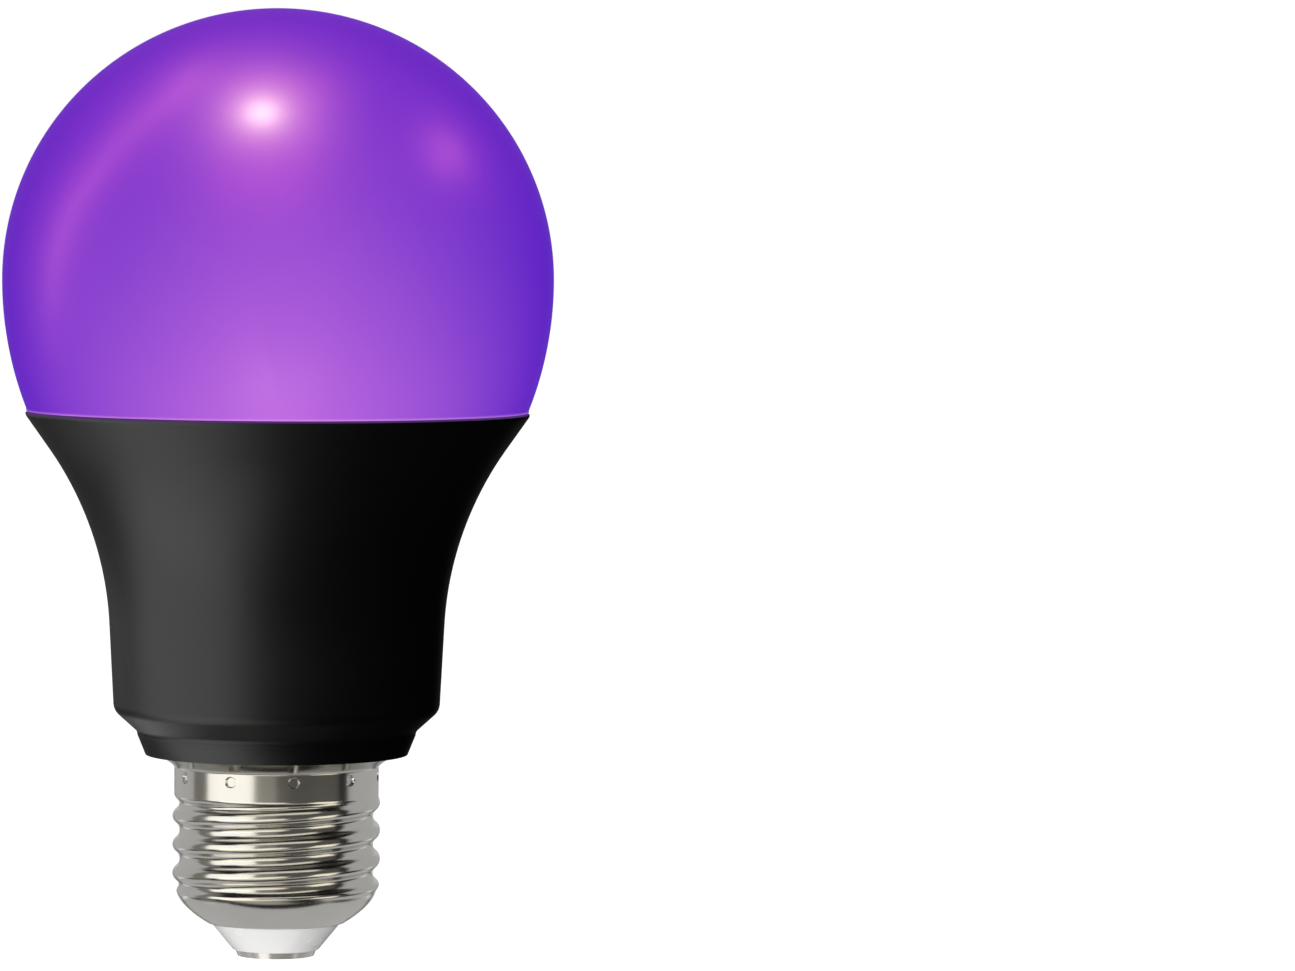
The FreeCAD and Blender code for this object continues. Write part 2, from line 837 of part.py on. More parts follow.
def inductor_winding():
    """The copper winding on the drum core."""
    low = drum_flange_thickness
    high = drum_length - drum_flange_thickness
    winding = rod(winding_radius, low, high).cut(rod(drum_core_radius, low, high))
    return on_front(winding, drum_place)


def fuse_resistor():
    """The fusible resistor in the live side, waisted between its end caps."""
    y = driver_front - part_lift - fuse_radius
    waist = fuse_radius - fuse_waist_depth
    body = turned_outline(
        (
            (0, 0, 0),
            (fuse_radius, 0, fuse_waist_depth),
            (fuse_radius, fuse_end_length, 0),
            (waist, fuse_end_length + fuse_waist_depth, 0),
            (waist, fuse_length - fuse_end_length - fuse_waist_depth, 0),
            (fuse_radius, fuse_length - fuse_end_length, 0),
            (fuse_radius, fuse_length, fuse_waist_depth),
            (0, fuse_length, 0),
        )
    )
    body.translate(Vector(fuse_x, y, fuse_bottom))
    top = fuse_bottom + fuse_length
    low_lead = bent_lead(fuse_x, y, fuse_bottom + fuse_waist_depth, fuse_bottom - 2 * lead_bend)
    high_lead = bent_lead(fuse_x, y, top - fuse_waist_depth, top + 2 * lead_bend)
    return body.fuse([low_lead, high_lead])


def flat_package(size, legs, pitch):
    """A moulded package that stands on bent legs along its two long sides."""
    length, width, height = size
    half = width / 2
    middle = part_lift + (height - part_lift) / 2
    outline = [
        Vector(0, half - leg_thickness, middle),
        Vector(0, half + leg_reach / 2, middle),
        Vector(0, half + leg_reach / 2, leg_thickness),
        Vector(0, half + leg_reach, leg_thickness),
        Vector(0, half + leg_reach, 0),
        Vector(0, half + leg_reach / 2 - leg_thickness, 0),
        Vector(0, half + leg_reach / 2 - leg_thickness, middle - leg_thickness),
        Vector(0, half - leg_thickness, middle - leg_thickness),
    ]
    leg = Part.Face(Part.makePolygon([*outline, outline[0]])).extrude(Vector(leg_width, 0, 0))
    package = block((length, width, height - part_lift), z=part_lift)
    solids = []
    for i in range(legs):
        for turn in (0, 180):
            copy = leg.copy()
            copy.translate(Vector((i - (legs - 1) / 2) * pitch - leg_width / 2, 0, 0))
            copy.rotate(centre, axis, turn)
            solids.append(copy)
    return package.fuse(solids)


def bridge_rectifier():
    return on_back(flat_package(rectifier_size, rectifier_legs, rectifier_leg_pitch), rectifier_place)


def driver_chip():
    return on_back(flat_package(chip_size, chip_legs, chip_leg_pitch), chip_place)


def live_wire():
    """The bare lead from the driver board down into the tip contact's stem."""
    x = live_wire_x
    back = driver_back + lead_reach
    low = stem_height - stem_bore_depth + wire_radius
    points = [
        Vector(x, back, wire_hole_height),
        Vector(x, wire_y, wire_hole_height),
        Vector(x, wire_y, wire_level),
        Vector(0, 0, wire_level),
        Vector(0, 0, low),
    ]
    return tube(points, wire_radius, lead_bend)


def neutral_wire():
    """The bare lead from the driver board that turns up between the neck and the cap."""
    x = neutral_wire_x
    back = driver_back + lead_reach
    low = neck_bottom - wire_drop
    points = [
        Vector(x, back, wire_hole_height),
        Vector(x, wire_y, wire_hole_height),
        Vector(x, wire_y, low),
        Vector(-groove_middle, 0, low),
        Vector(-groove_middle, 0, neck_bottom + wire_groove_reach),
    ]
    return tube(points, wire_radius, lead_bend)


pieces = {
    "diffuser_dome": diffuser_dome(),
    "dome_seal": dome_seal(),
    "housing": housing(),
    "heat_sink_cup": heat_sink_cup(),
    "led_board": led_board(),
    "board_screws": board_screws(),
    "board_socket": board_socket(),
    "output_pins": output_pins(),
    "driver_board": driver_board(),
    "input_capacitor": input_capacitor(),
    "output_capacitor": output_capacitor(),
    "inductor_core": inductor_core(),
    "inductor_winding": inductor_winding(),
    "fuse_resistor": fuse_resistor(),
    "bridge_rectifier": bridge_rectifier(),
    "driver_chip": driver_chip(),
    "live_wire": live_wire(),
    "neutral_wire": neutral_wire(),
    "cap_shell": cap_shell(),
    "cap_insulator": cap_insulator(),
    "tip_contact": tip_contact(),
}
for number, light in enumerate(around(led(), led_count), start=1):
    pieces[f"led_{number:02d}"] = light

os.makedirs("parts", exist_ok=True)
for name, shape in pieces.items():
    shape.exportStep(os.path.join("parts", name + ".step"))
    print(name, len(shape.Solids), "solid(s), valid:", shape.isValid(), "volume:", round(shape.Volume, 1))
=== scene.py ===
import math
import bpy
import numpy as np
from mathutils import Matrix, Vector


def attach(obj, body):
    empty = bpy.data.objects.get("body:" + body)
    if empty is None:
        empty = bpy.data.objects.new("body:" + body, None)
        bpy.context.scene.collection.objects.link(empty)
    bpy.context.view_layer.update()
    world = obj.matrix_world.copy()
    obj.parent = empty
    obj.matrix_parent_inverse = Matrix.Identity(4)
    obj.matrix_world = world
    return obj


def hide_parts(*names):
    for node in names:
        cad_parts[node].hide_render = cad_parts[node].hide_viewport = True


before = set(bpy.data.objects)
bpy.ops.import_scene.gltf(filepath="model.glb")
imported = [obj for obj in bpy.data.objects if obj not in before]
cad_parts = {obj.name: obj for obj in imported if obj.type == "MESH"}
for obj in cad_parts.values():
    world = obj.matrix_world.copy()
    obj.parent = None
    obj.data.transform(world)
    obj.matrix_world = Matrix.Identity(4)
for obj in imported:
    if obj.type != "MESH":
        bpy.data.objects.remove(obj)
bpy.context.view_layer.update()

mm = 0.001  # every size below is in millimetres
print("frame loaded:", len(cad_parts), "nodes")


def easeStep(x):
    # From 0 to 1 with level ends: three squares less two cubes
    x = np.clip(x, 0, 1)
    return x * x * (3 - 2 * x)


def roundedLine(corners, steps):
    # An outline of radius and height through corners of radius, height and rounding. A rounding is
    # an arc: its middle lies on the line that halves the corner, at the rounding over the sine of
    # half the corner, and it starts at the rounding over that half's tangent.
    corners = np.array(corners, float)
    points = [corners[:1, :2]]
    for before, corner, after, rounding in zip(corners, corners[1:], corners[2:], corners[1:, 2]):
        if rounding == 0:
            points.append(corner[None, :2])
            continue
        back = (before - corner)[:2] / np.hypot(*(before - corner)[:2])
        ahead = (after - corner)[:2] / np.hypot(*(after - corner)[:2])
        half = np.arccos(np.dot(back, ahead)) / 2
        inward = (back + ahead) / np.hypot(*(back + ahead))
        centre = corner[:2] + inward * rounding / np.sin(half)
        start = corner[:2] + back * rounding / np.tan(half) - centre
        turn = (np.pi - 2 * half) * np.sign(start[0] * ahead[1] - start[1] * ahead[0])
        angle = np.linspace(0, turn, steps)
        arc = np.stack([start[0] * np.cos(angle) - start[1] * np.sin(angle),
                        start[0] * np.sin(angle) + start[1] * np.cos(angle)], axis=1)
        points.append(centre + arc)
    points.append(corners[-1:, :2])
    return np.concatenate(points)


def roundAxis(radius, height, angle):
    # A grid of points in metres from radius and height, at each angle round the bulb's axis:
    # x is radius times cosine, y is radius times sine, z is height
    return np.stack([radius * np.cos(angle), radius * np.sin(angle),
                     height + 0 * angle], axis=-1) * mm


def turnOutline(outline, columns):
    # A surface of revolution: the outline carried round the axis in equal steps
    angle = np.linspace(0, 2 * np.pi, columns, endpoint=False)[None, :]
    return roundAxis(outline[:, :1], outline[:, 1:], angle)


def surfacePiece(name, node, grid, looped=True, sharpDegrees=32):
    # Four neighbours of the grid make a face. Columns close round the axis. A looped outline's last
    # row joins its first. Otherwise both end rows are poles, each one point with three-sided faces.
    rows, columns = grid.shape[:2]
    index = np.arange(rows * columns).reshape(rows, columns)
    if not looped:
        index[0] = index[0, 0]
        index[-1] = index[-1, 0]
    below = index if looped else index[:-1]
    above = np.roll(index, -1, axis=0) if looped else index[1:]
    faces = np.stack([below, np.roll(below, -1, axis=1), np.roll(above, -1, axis=1), above], axis=-1)
    faces = faces.reshape(-1, 4)
    used, faces = np.unique(faces, return_inverse=True)
    faces = faces.reshape(-1, 4)
    atStart = faces[:, 0] == faces[:, 1]
    atEnd = faces[:, 2] == faces[:, 3]
    whole = faces[~atStart & ~atEnd].tolist()
    poles = faces[atStart][:, [0, 2, 3]].tolist() + faces[atEnd][:, [0, 1, 2]].tolist()
    mesh = bpy.data.meshes.new(name)
    mesh.from_pydata(grid.reshape(-1, 3)[used].tolist(), [], whole + poles)
    mesh.shade_smooth()
    mesh.set_sharp_from_angle(angle=math.radians(sharpDegrees))
    piece = bpy.data.objects.new(name, mesh)
    bpy.context.scene.collection.objects.link(piece)
    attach(piece, "root")
    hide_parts(node)
    print("made", name, "with", len(mesh.polygons), "faces")
    return piece


cap = {
    "pitch": 3.629, "crest": 13.15, "root": 12.25, "sheet": 0.3,
    "threadBottom": 8.0, "threadTop": 20.6, "runOut": 1.3, "firstCrest": 10.5,
    "lipRadius": 8.75, "lipHeight": 4.25, "shoulderHeight": 8.6, "shoulderPower": 1.8,
    "collarRadius": 12.95, "flangeBottom": 24.0, "flangeTop": 25.5,
    "flangeRadius": 15.0, "flangePower": 1.4,
    "dimples": 10, "dimpleHeight": 23.0, "dimpleRadius": 0.7, "dimpleOffset": 0.1,
    "dimpleTurn": -80.4,  # degrees
    "columns": 360, "crowding": 0.8,  # share by which columns draw in towards the dimples
    "shoulderRows": 20, "threadRows": 84, "collarRows": 60, "flangeRows": 14, "innerRows": 64,
}


def threadWave(distance):
    # The rolled thread from -1 to 1: equal arcs that meet halfway between crest and root, so each
    # arc's radius is (quarter pitch squared plus depth squared) over twice the depth
    depth = (cap["crest"] - cap["root"]) / 2
    quarter = cap["pitch"] / 4
    arcRadius = (quarter ** 2 + depth ** 2) / (2 * depth)
    place = (distance + quarter) % cap["pitch"] - quarter
    side = np.where(place > quarter, -1, 1)
    place = np.where(place > quarter, place - cap["pitch"] / 2, place)
    return side * (np.sqrt(arcRadius ** 2 - place ** 2) - arcRadius + depth) / depth


def sheetOutside(angle, height):
    # Radius of the cap's sheet: the middle radius, less a power of the depth below the shoulder, out
    # to the collar, flared above it, plus the thread's wave, which climbs one pitch in one turn
    middle = (cap["crest"] + cap["root"]) / 2
    shoulder = cap["shoulderHeight"] - cap["lipHeight"]
    depth = np.clip((cap["shoulderHeight"] - height) / shoulder, 0, 1)
    radius = middle - (middle - cap["lipRadius"]) * depth ** cap["shoulderPower"]
    toCollar = easeStep((height - cap["threadTop"]) / cap["runOut"] + 1)
    radius = radius + (cap["collarRadius"] - radius) * toCollar
    rise = np.clip((height - cap["flangeBottom"]) / (cap["flangeTop"] - cap["flangeBottom"]), 0, 1)
    radius = radius + (cap["flangeRadius"] - cap["collarRadius"]) * rise ** cap["flangePower"]
    fade = easeStep((height - cap["threadBottom"]) / cap["runOut"])
    fade = fade * easeStep((cap["threadTop"] - height) / cap["runOut"])
    climb = cap["pitch"] * ((angle / (2 * np.pi)) % 1 - 0.5)
    wave = threadWave(height - cap["firstCrest"] - climb)
    return radius + (cap["crest"] - middle) * fade * wave


def sheetInside(angle, height):
    # One sheet thickness in, square to the outside: the thickness times the root of one plus the
    # slope squared
    step = cap["sheet"] / 10
    slope = (sheetOutside(angle, height + step) - sheetOutside(angle, height - step)) / (2 * step)
    return sheetOutside(angle, height) - cap["sheet"] * np.hypot(1, slope)


def dented(radius, angle, height):
    # Each punched dimple is a ball's hollow: where it passes within the ball, the sheet's radius is
    # the ball's centre less the root of its radius squared less both distances squared
    spacing = 2 * np.pi / cap["dimples"]
    turned = (angle - math.radians(cap["dimpleTurn"]) + spacing / 2) % spacing - spacing / 2
    centre = cap["collarRadius"] + cap["dimpleOffset"]
    across = centre * np.sin(turned)
    left = cap["dimpleRadius"] ** 2 - across ** 2 - (height - cap["dimpleHeight"]) ** 2
    hollow = centre * np.cos(turned) - np.sqrt(np.maximum(left, 0))
    return np.where(left > 0, np.minimum(radius, hollow), radius)


def capGrid():
    # Columns are drawn together at the dimples: the angle less a share of the sine of ten times itself
    even = np.linspace(0, 2 * np.pi, cap["columns"], endpoint=False)
    turned = cap["dimples"] * (even - math.radians(cap["dimpleTurn"]))
    angle = (even - cap["crowding"] / cap["dimples"] * np.sin(turned))[None, :]
    outer = np.concatenate([
        np.linspace(cap["lipHeight"], cap["threadBottom"], cap["shoulderRows"], endpoint=False),
        np.linspace(cap["threadBottom"], cap["threadTop"], cap["threadRows"], endpoint=False),
        np.linspace(cap["threadTop"], cap["flangeBottom"], cap["collarRows"], endpoint=False),
        np.linspace(cap["flangeBottom"], cap["flangeTop"], cap["flangeRows"]),
    ])[:, None]
    inner = np.linspace(cap["flangeTop"], cap["lipHeight"], cap["innerRows"])[:, None]
    outside = roundAxis(dented(sheetOutside(angle, outer), angle, outer), outer, angle)
    inside = roundAxis(sheetInside(angle, inner), inner, angle)
    return np.concatenate([outside, inside])


screwCap = surfacePiece("screwCap", "cap_shell", capGrid(), sharpDegrees=38)


housing = {
    "skin": [  # radius, height, rounding
        (14.6, 25.6, 0), (17.6, 25.6, 1.0), (17.6, 28.5, 1.0), (20.6, 31.2, 2.0),
        (21.82, 54.3, 42.5), (31.8, 68.48, 0.6), (31.8, 69.0, 0.25), (27.9, 69.0, 0),
    ],
    "wall": 1.8, "recess": 27.9, "ledge": 64.9, "floor": 27.4,
    "neck": 11.8, "bore": 10.2, "neckBottom": 10.4, "capPlay": 0.1,
    "columns": 256, "arcRows": 40, "wallRows": 80, "seatRows": 24,
}


def housingOutline():
    # The skin's rounded line, the recess for the globe, then the inner wall, which is one wall
    # thickness in, square to the skin, then the neck's bore, its outside and the seat in the cap
    skin = roundedLine(housing["skin"], housing["arcRows"])
    height = np.linspace(housing["ledge"], housing["floor"], housing["wallRows"])
    side = skin[1:-1]
    outside = np.interp(height, side[:, 1], side[:, 0])
    wall = outside - housing["wall"] * np.hypot(1, np.gradient(outside, height))
    seat = np.linspace(cap["threadTop"], cap["flangeTop"], housing["seatRows"])
    seatRadius = sheetInside(0.0, seat) - housing["capPlay"]
    return np.concatenate([
        [(housing["neck"], housing["neckBottom"]), (housing["neck"], cap["threadTop"])],
        np.stack([seatRadius, seat], axis=1)[1:],
        skin,
        [(housing["recess"], housing["ledge"])],
        np.stack([wall, height], axis=1),
        [(housing["bore"], housing["floor"]), (housing["bore"], housing["neckBottom"])],
    ])


body = surfacePiece("flaredHousing", "housing",
                    turnOutline(housingOutline(), housing["columns"]))


globe = {
    "top": 119.8, "radius": 34.75, "equator": 85.6, "wall": 1.3,
    "footRadius": 31.7, "seam": 69.0, "footRounding": 0.3,
    "neckRadius": 27.8, "neckBottom": 65.7, "neckRounding": 0.3, "beadHeight": 67.35, "bead": 0.25,
    "columns": 256, "crownRows": 100, "sideRows": 40, "innerCrownRows": 48, "innerSideRows": 24,
    "arcRows": 6,
}


def ellipseArc(radius, reach, endHeight, rows):
    # A quarter ellipse from the equator: radius times the cosine, equator plus reach times the sine
    end = math.asin(min((endHeight - globe["equator"]) / reach, 1))
    angle = np.linspace(0, end, rows)
    return np.stack([radius * np.cos(angle), globe["equator"] + reach * np.sin(angle)], axis=1)


def globeOutline():
    # From the inner pole down inside the shell, round the neck that plugs into the housing, and up
    # the outside to the outer pole. Above and below the equator the outside is two different
    # ellipses. The lower one reaches so far down that it passes through the foot's radius: the
    # foot's depth over the root of one less the radius ratio squared.
    wall = globe["wall"]
    crown = globe["top"] - globe["equator"]
    foot = globe["seam"] + globe["footRounding"]
    ratio = globe["footRadius"] / globe["radius"]
    depth = (globe["equator"] - foot) / math.sqrt(1 - ratio ** 2)
    neckInside = globe["neckRadius"] - wall
    inner = globe["radius"] - wall
    neck = roundedLine([
        (neckInside, globe["seam"] + wall, 0),
        (neckInside, globe["neckBottom"], globe["neckRounding"]),
        (globe["neckRadius"], globe["neckBottom"], globe["neckRounding"]),
        (globe["neckRadius"], globe["beadHeight"] - 2 * globe["bead"], 0),
        (globe["neckRadius"] + globe["bead"], globe["beadHeight"], 0),
        (globe["neckRadius"], globe["beadHeight"] + 2 * globe["bead"], 0),
        (globe["neckRadius"], globe["seam"], 0),
        (globe["footRadius"], globe["seam"], 0),
    ], globe["arcRows"])
    return np.concatenate([
        ellipseArc(inner, crown - wall, globe["top"] - wall, globe["innerCrownRows"])[::-1],
        ellipseArc(inner, wall - depth, globe["seam"] + wall, globe["innerSideRows"])[1:],
        neck,
        ellipseArc(globe["radius"], -depth, foot, globe["sideRows"])[::-1],
        ellipseArc(globe["radius"], crown, globe["top"], globe["crownRows"])[1:],
    ])


dome = surfacePiece("violetGlobe", "diffuser_dome",
                    turnOutline(globeOutline(), globe["columns"]), looped=False)


insulator = {
    "contactThickness": 0.8, "noseRadius": 5.45, "noseRounding": 0.2,
    "hole": 1.55, "top": 8.0, "capPlay": 0.1,
    "columns": 192, "wallRows": 24, "arcRows": 6,
}


def insulatorOutline():
    # Down the stem's hole, out under the contact, then up the slanted nose and the inside of the cap
    wall = np.linspace(cap["lipHeight"], insulator["top"], insulator["wallRows"])
    wallRadius = sheetInside(0.0, wall) - insulator["capPlay"]
    nose = roundedLine([
        (insulator["hole"], insulator["top"], 0),
        (insulator["hole"], insulator["contactThickness"], 0),
        (insulator["noseRadius"], insulator["contactThickness"], insulator["noseRounding"]),
        (wallRadius[0], cap["lipHeight"], 0),
    ], insulator["arcRows"])
    return np.concatenate([nose, np.stack([wallRadius, wall], axis=1)[1:]])


nose = surfacePiece("whiteInsulator", "cap_insulator",
                    turnOutline(insulatorOutline(), insulator["columns"]))


contact = {
    "radius": 5.2, "thickness": 0.8, "rounding": 0.35, "stem": 1.5, "stemTop": 9.6,
    "rivet": 2.1, "seat": 8.0, "rivetTop": 8.5, "bore": 0.45, "boreBottom": 6.6,
    "columns": 128, "arcRows": 8,
}


def contactOutline():
    # From the middle of the face out over its rounded rim, up the stem, over the riveted collar and
    # down the bore that grips the lead
    return roundedLine([
        (0, 0, 0),
        (contact["radius"], 0, contact["rounding"]),
        (contact["radius"], contact["thickness"], 0),
        (contact["stem"], contact["thickness"], 0),
        (contact["stem"], contact["seat"], 0),
        (contact["rivet"], contact["seat"], 0),
        (contact["stem"], contact["rivetTop"], 0),
        (contact["stem"], contact["stemTop"], 0),
        (contact["bore"], contact["stemTop"], 0),
        (contact["bore"], contact["boreBottom"], 0),
        (0, contact["boreBottom"], 0),
    ], contact["arcRows"])


tip = surfacePiece("tipContact", "tip_contact",
                   turnOutline(contactOutline(), contact["columns"]), looped=False)


def linear(hexColour):
    # sRGB hex to linear red, green, blue and a full alpha
    parts = [int(hexColour[i:i + 2], 16) / 255 for i in (1, 3, 5)]
    return [c / 12.92 if c <= 0.04045 else ((c + 0.055) / 1.055) ** 2.4 for c in parts] + [1.0]


def addNode(tree, kind, settings, links=None):
    # Adds one node, sets its sockets and properties by name, and links its inputs
    node = tree.nodes.new(kind)
    for name, value in settings.items():
        if isinstance(name, int) or name in node.inputs:
            node.inputs[name].default_value = value
        else:
            setattr(node, name, value)
    for name, source in (links or {}).items():
        tree.links.new(source, node.inputs[name])
    return node


def startFinish(name):
    # An empty material with its output, and the object's own coordinates
    finish = bpy.data.materials.new(name)
    finish.use_nodes = True
    tree = finish.node_tree
    tree.nodes.clear()
    output = addNode(tree, "ShaderNodeOutputMaterial", {})
    place = addNode(tree, "ShaderNodeTexCoord", {}).outputs["Object"]
    return finish, tree, output, place


def perMillimetre(size):
    # Noise scale for a pattern of this size: object coordinates are in metres
    return 1 / (size * mm)


def coverWith(finish, *pieces):
    for piece in pieces:
        piece.data.materials.clear()
        piece.data.materials.append(finish)


violet = {
    "plastic": "#955A62", "plasticDeep": "#8F565E", "glow": "#4C00C6", "glowAtBoard": "#5000C8",
    "paintedFootHighlight": "#9A62D8", "paintedHighlightReach": 0.36, "glowReach": 19.0,
    "cloudSize": 14.0, "skinGrain": 1.6, "skinDepth": 0.004,
}


def mouldedDiffuser():
    # Injection-moulded polycarbonate with a violet dye: a satin skin over a cloudy body that glows a
    # deep violet from within, a little brighter just above its foot, where the light board lies, with a
    # painted highlight: a thin paler line at the foot's edge that stands for light caught there. The
    # dye tints the wide part of its sheen rosy.
    finish, tree, output, place = startFinish("mouldedVioletPolycarbonate")
    clouds = addNode(tree, "ShaderNodeTexNoise", {
        "Scale": perMillimetre(violet["cloudSize"]), "Detail": 3.0}, {"Vector": place})
    body = addNode(tree, "ShaderNodeMix", {
        "data_type": "RGBA", 6: linear(violet["plasticDeep"]), 7: linear(violet["plastic"]),
    }, {0: clouds.outputs["Fac"]})
    height = addNode(tree, "ShaderNodeSeparateXYZ", {}, {0: place}).outputs["Z"]
    low = globe["seam"] * mm
    nearBoard = addNode(tree, "ShaderNodeMapRange", {
        "interpolation_type": "SMOOTHSTEP", "From Min": low, "From Max": low + violet["glowReach"] * mm,
        "To Min": 1.0, "To Max": 0.0}, {"Value": height})
    glow = addNode(tree, "ShaderNodeMix", {
        "data_type": "RGBA", 6: linear(violet["glow"]), 7: linear(violet["glowAtBoard"]),
    }, {0: nearBoard.outputs["Result"]})
    # Painted highlight: a thin paler line of glow along the edge of the foot
    paintedFootLine = addNode(tree, "ShaderNodeMapRange", {
        "interpolation_type": "SMOOTHSTEP", "From Min": low, "From Max": low + violet["paintedHighlightReach"] * mm,
        "To Min": 1.0, "To Max": 0.0}, {"Value": height})
    glow = addNode(tree, "ShaderNodeMix", {"data_type": "RGBA", 7: linear(violet["paintedFootHighlight"])},
                   {0: paintedFootLine.outputs["Result"], 6: glow.outputs[2]})
    grain = addNode(tree, "ShaderNodeTexNoise", {
        "Scale": perMillimetre(violet["skinGrain"]), "Detail": 2.0}, {"Vector": place})
    bump = addNode(tree, "ShaderNodeBump", {
        "Strength": 0.35, "Distance": violet["skinDepth"] * mm}, {"Height": grain.outputs["Fac"]})
    shader = addNode(tree, "ShaderNodeBsdfPrincipled", {
        "Roughness": 0.48, "IOR": 1.5, "Specular Tint": linear("#FF9092"),
        "Coat Weight": 0.4, "Coat Roughness": 0.31, "Coat IOR": 1.4, "Emission Strength": 1.0,
    }, {
        "Base Color": body.outputs[2], "Emission Color": glow.outputs[2],
        "Normal": bump.outputs["Normal"],
    })
    tree.links.new(shader.outputs["BSDF"], output.inputs["Surface"])
    return finish


coverWith(mouldedDiffuser(), dome)


def rolledMetal(name, bright, dull, roughness, lineSize, lineStretch, lineDepth, cloudSize, above=None):
    # Metal with fine marks that run round the axis: noise that is stretched level and squeezed
    # upright. Above a height it can turn darker: painted shade, as where a joint overhangs the metal.
    finish, tree, output, place = startFinish(name)
    flat = addNode(tree, "ShaderNodeMapping", {
        "Scale": (1 / lineStretch, 1 / lineStretch, 1)}, {"Vector": place})
    lines = addNode(tree, "ShaderNodeTexNoise", {"Scale": perMillimetre(lineSize), "Detail": 3.0},
                    {"Vector": flat.outputs["Vector"]})
    clouds = addNode(tree, "ShaderNodeTexNoise", {"Scale": perMillimetre(cloudSize), "Detail": 5.0},
                     {"Vector": place})
    colour = addNode(tree, "ShaderNodeMix", {"data_type": "RGBA", 6: linear(dull), 7: linear(bright)},
                     {0: clouds.outputs["Fac"]})
    # Painted shade: the colour darkens above the given height
    if above:
        height = addNode(tree, "ShaderNodeSeparateXYZ", {}, {0: place})
        share = addNode(tree, "ShaderNodeMapRange", {
            "interpolation_type": "SMOOTHSTEP",
            "From Min": above["start"] * mm, "From Max": above["end"] * mm,
        }, {"Value": height.outputs["Z"]})
        colour = addNode(tree, "ShaderNodeMix", {"data_type": "RGBA", 7: linear(above["colour"])},
                         {0: share.outputs["Result"], 6: colour.outputs[2]})
    gloss = addNode(tree, "ShaderNodeMapRange", {"To Min": roughness[0], "To Max": roughness[1]},
                    {"Value": clouds.outputs["Fac"]})
    bump = addNode(tree, "ShaderNodeBump", {"Strength": 0.6, "Distance": lineDepth * mm},
                   {"Height": lines.outputs["Fac"]})
    shader = addNode(tree, "ShaderNodeBsdfPrincipled", {"Metallic": 1.0}, {
        "Base Color": colour.outputs[2], "Roughness": gloss.outputs["Result"],
        "Normal": bump.outputs["Normal"],
    })
    tree.links.new(shader.outputs["BSDF"], output.inputs["Surface"])
    return finish


# Nickel plate over drawn brass: a warm grey mirror, softened by the rolling marks of the thread, and
# darkened by painted shade on the flared rim under the housing
nickelPlate = rolledMetal("rolledNickelPlate", "#E8E6E1", "#DCDAD4", (0.15, 0.22),
                          lineSize=0.25, lineStretch=14, lineDepth=0.002, cloudSize=5.0,
                          above={"start": 24.0, "end": 24.6, "colour": "#AAA7A1"})
coverWith(nickelPlate, screwCap)

# Bright tin over brass: paler than nickel, with the turning marks of the riveted head
tinPlate = rolledMetal("turnedTinPlate", "#EFECE6", "#DEDAD3", (0.14, 0.22),
                       lineSize=0.2, lineStretch=10, lineDepth=0.004, cloudSize=3.0)
coverWith(tinPlate, tip)

# Drawn and spun aluminium: fine marks round the cup and a cloudy, greasy sheen
drawnAluminium = rolledMetal("drawnAluminium", "#C9CBCE", "#B4B6B9", (0.30, 0.42),
                             lineSize=0.3, lineStretch=8, lineDepth=0.005, cloudSize=8.0)

# Bright zinc plate on steel screws: a bluish grey, half glossy
zincPlate = rolledMetal("brightZincPlate", "#C4C8CC", "#A9AEB4", (0.24, 0.38),
                        lineSize=0.15, lineStretch=6, lineDepth=0.003, cloudSize=2.0)

# Hot-dipped tin on copper: pale and softly glossy
tinnedCopper = rolledMetal("tinnedCopper", "#D9D7D2", "#C2BFB9", (0.28, 0.40),
                           lineSize=0.1, lineStretch=4, lineDepth=0.002, cloudSize=1.5)

# Lacquered copper wire: reddish brown, with fine level lines that stand for the turns
enamelledCopper = rolledMetal("enamelledCopper", "#C26A3A", "#9A4A26", (0.3, 0.45),
                              lineSize=0.35, lineStretch=20, lineDepth=0.06, cloudSize=2.0)


def evenBody(name, light, dark, roughness, ior, cloudSize, grainSize, grainDepth):
    # A plastic, rubber, lacquer or ceramic: two close tones in clouds, and a fine grain in the skin
    finish, tree, output, place = startFinish(name)
    clouds = addNode(tree, "ShaderNodeTexNoise", {"Scale": perMillimetre(cloudSize), "Detail": 4.0},
                     {"Vector": place})
    colour = addNode(tree, "ShaderNodeMix", {"data_type": "RGBA", 6: linear(dark), 7: linear(light)},
                     {0: clouds.outputs["Fac"]})
    gloss = addNode(tree, "ShaderNodeMapRange", {"To Min": roughness[0], "To Max": roughness[1]},
                    {"Value": clouds.outputs["Fac"]})
    grain = addNode(tree, "ShaderNodeTexNoise", {"Scale": perMillimetre(grainSize), "Detail": 2.0},
                    {"Vector": place})
    bump = addNode(tree, "ShaderNodeBump", {"Strength": 0.5, "Distance": grainDepth * mm},
                   {"Height": grain.outputs["Fac"]})
    shader = addNode(tree, "ShaderNodeBsdfPrincipled", {"IOR": ior}, {
        "Base Color": colour.outputs[2], "Roughness": gloss.outputs["Result"],
        "Normal": bump.outputs["Normal"],
    })
    tree.links.new(shader.outputs["BSDF"], output.inputs["Surface"])
    return finish


# Black polycarbonate from a finely spark-eroded mould: an even dark body whose fine grain spreads
# the highlight down its side
blackPolycarbonate = evenBody("mouldedBlackPolycarbonate", "#060607", "#030303", (0.40, 0.48), 1.55,
                              cloudSize=9.0, grainSize=0.35, grainDepth=0.008)
coverWith(blackPolycarbonate, body)

# Urea moulding: hard, white and glossy
whiteUrea = evenBody("mouldedWhiteUrea", "#F4F3F1", "#EAE9E6", (0.22, 0.30), 1.54,
                     cloudSize=4.0, grainSize=0.8, grainDepth=0.004)
coverWith(whiteUrea, nose)

innerFinishes = {
    "heat_sink_cup": drawnAluminium,
    "board_screws": zincPlate,
    "output_pins": tinnedCopper,
    "inductor_winding": enamelledCopper,
    "live_wire": tinnedCopper,
    "neutral_wire": tinnedCopper,
}

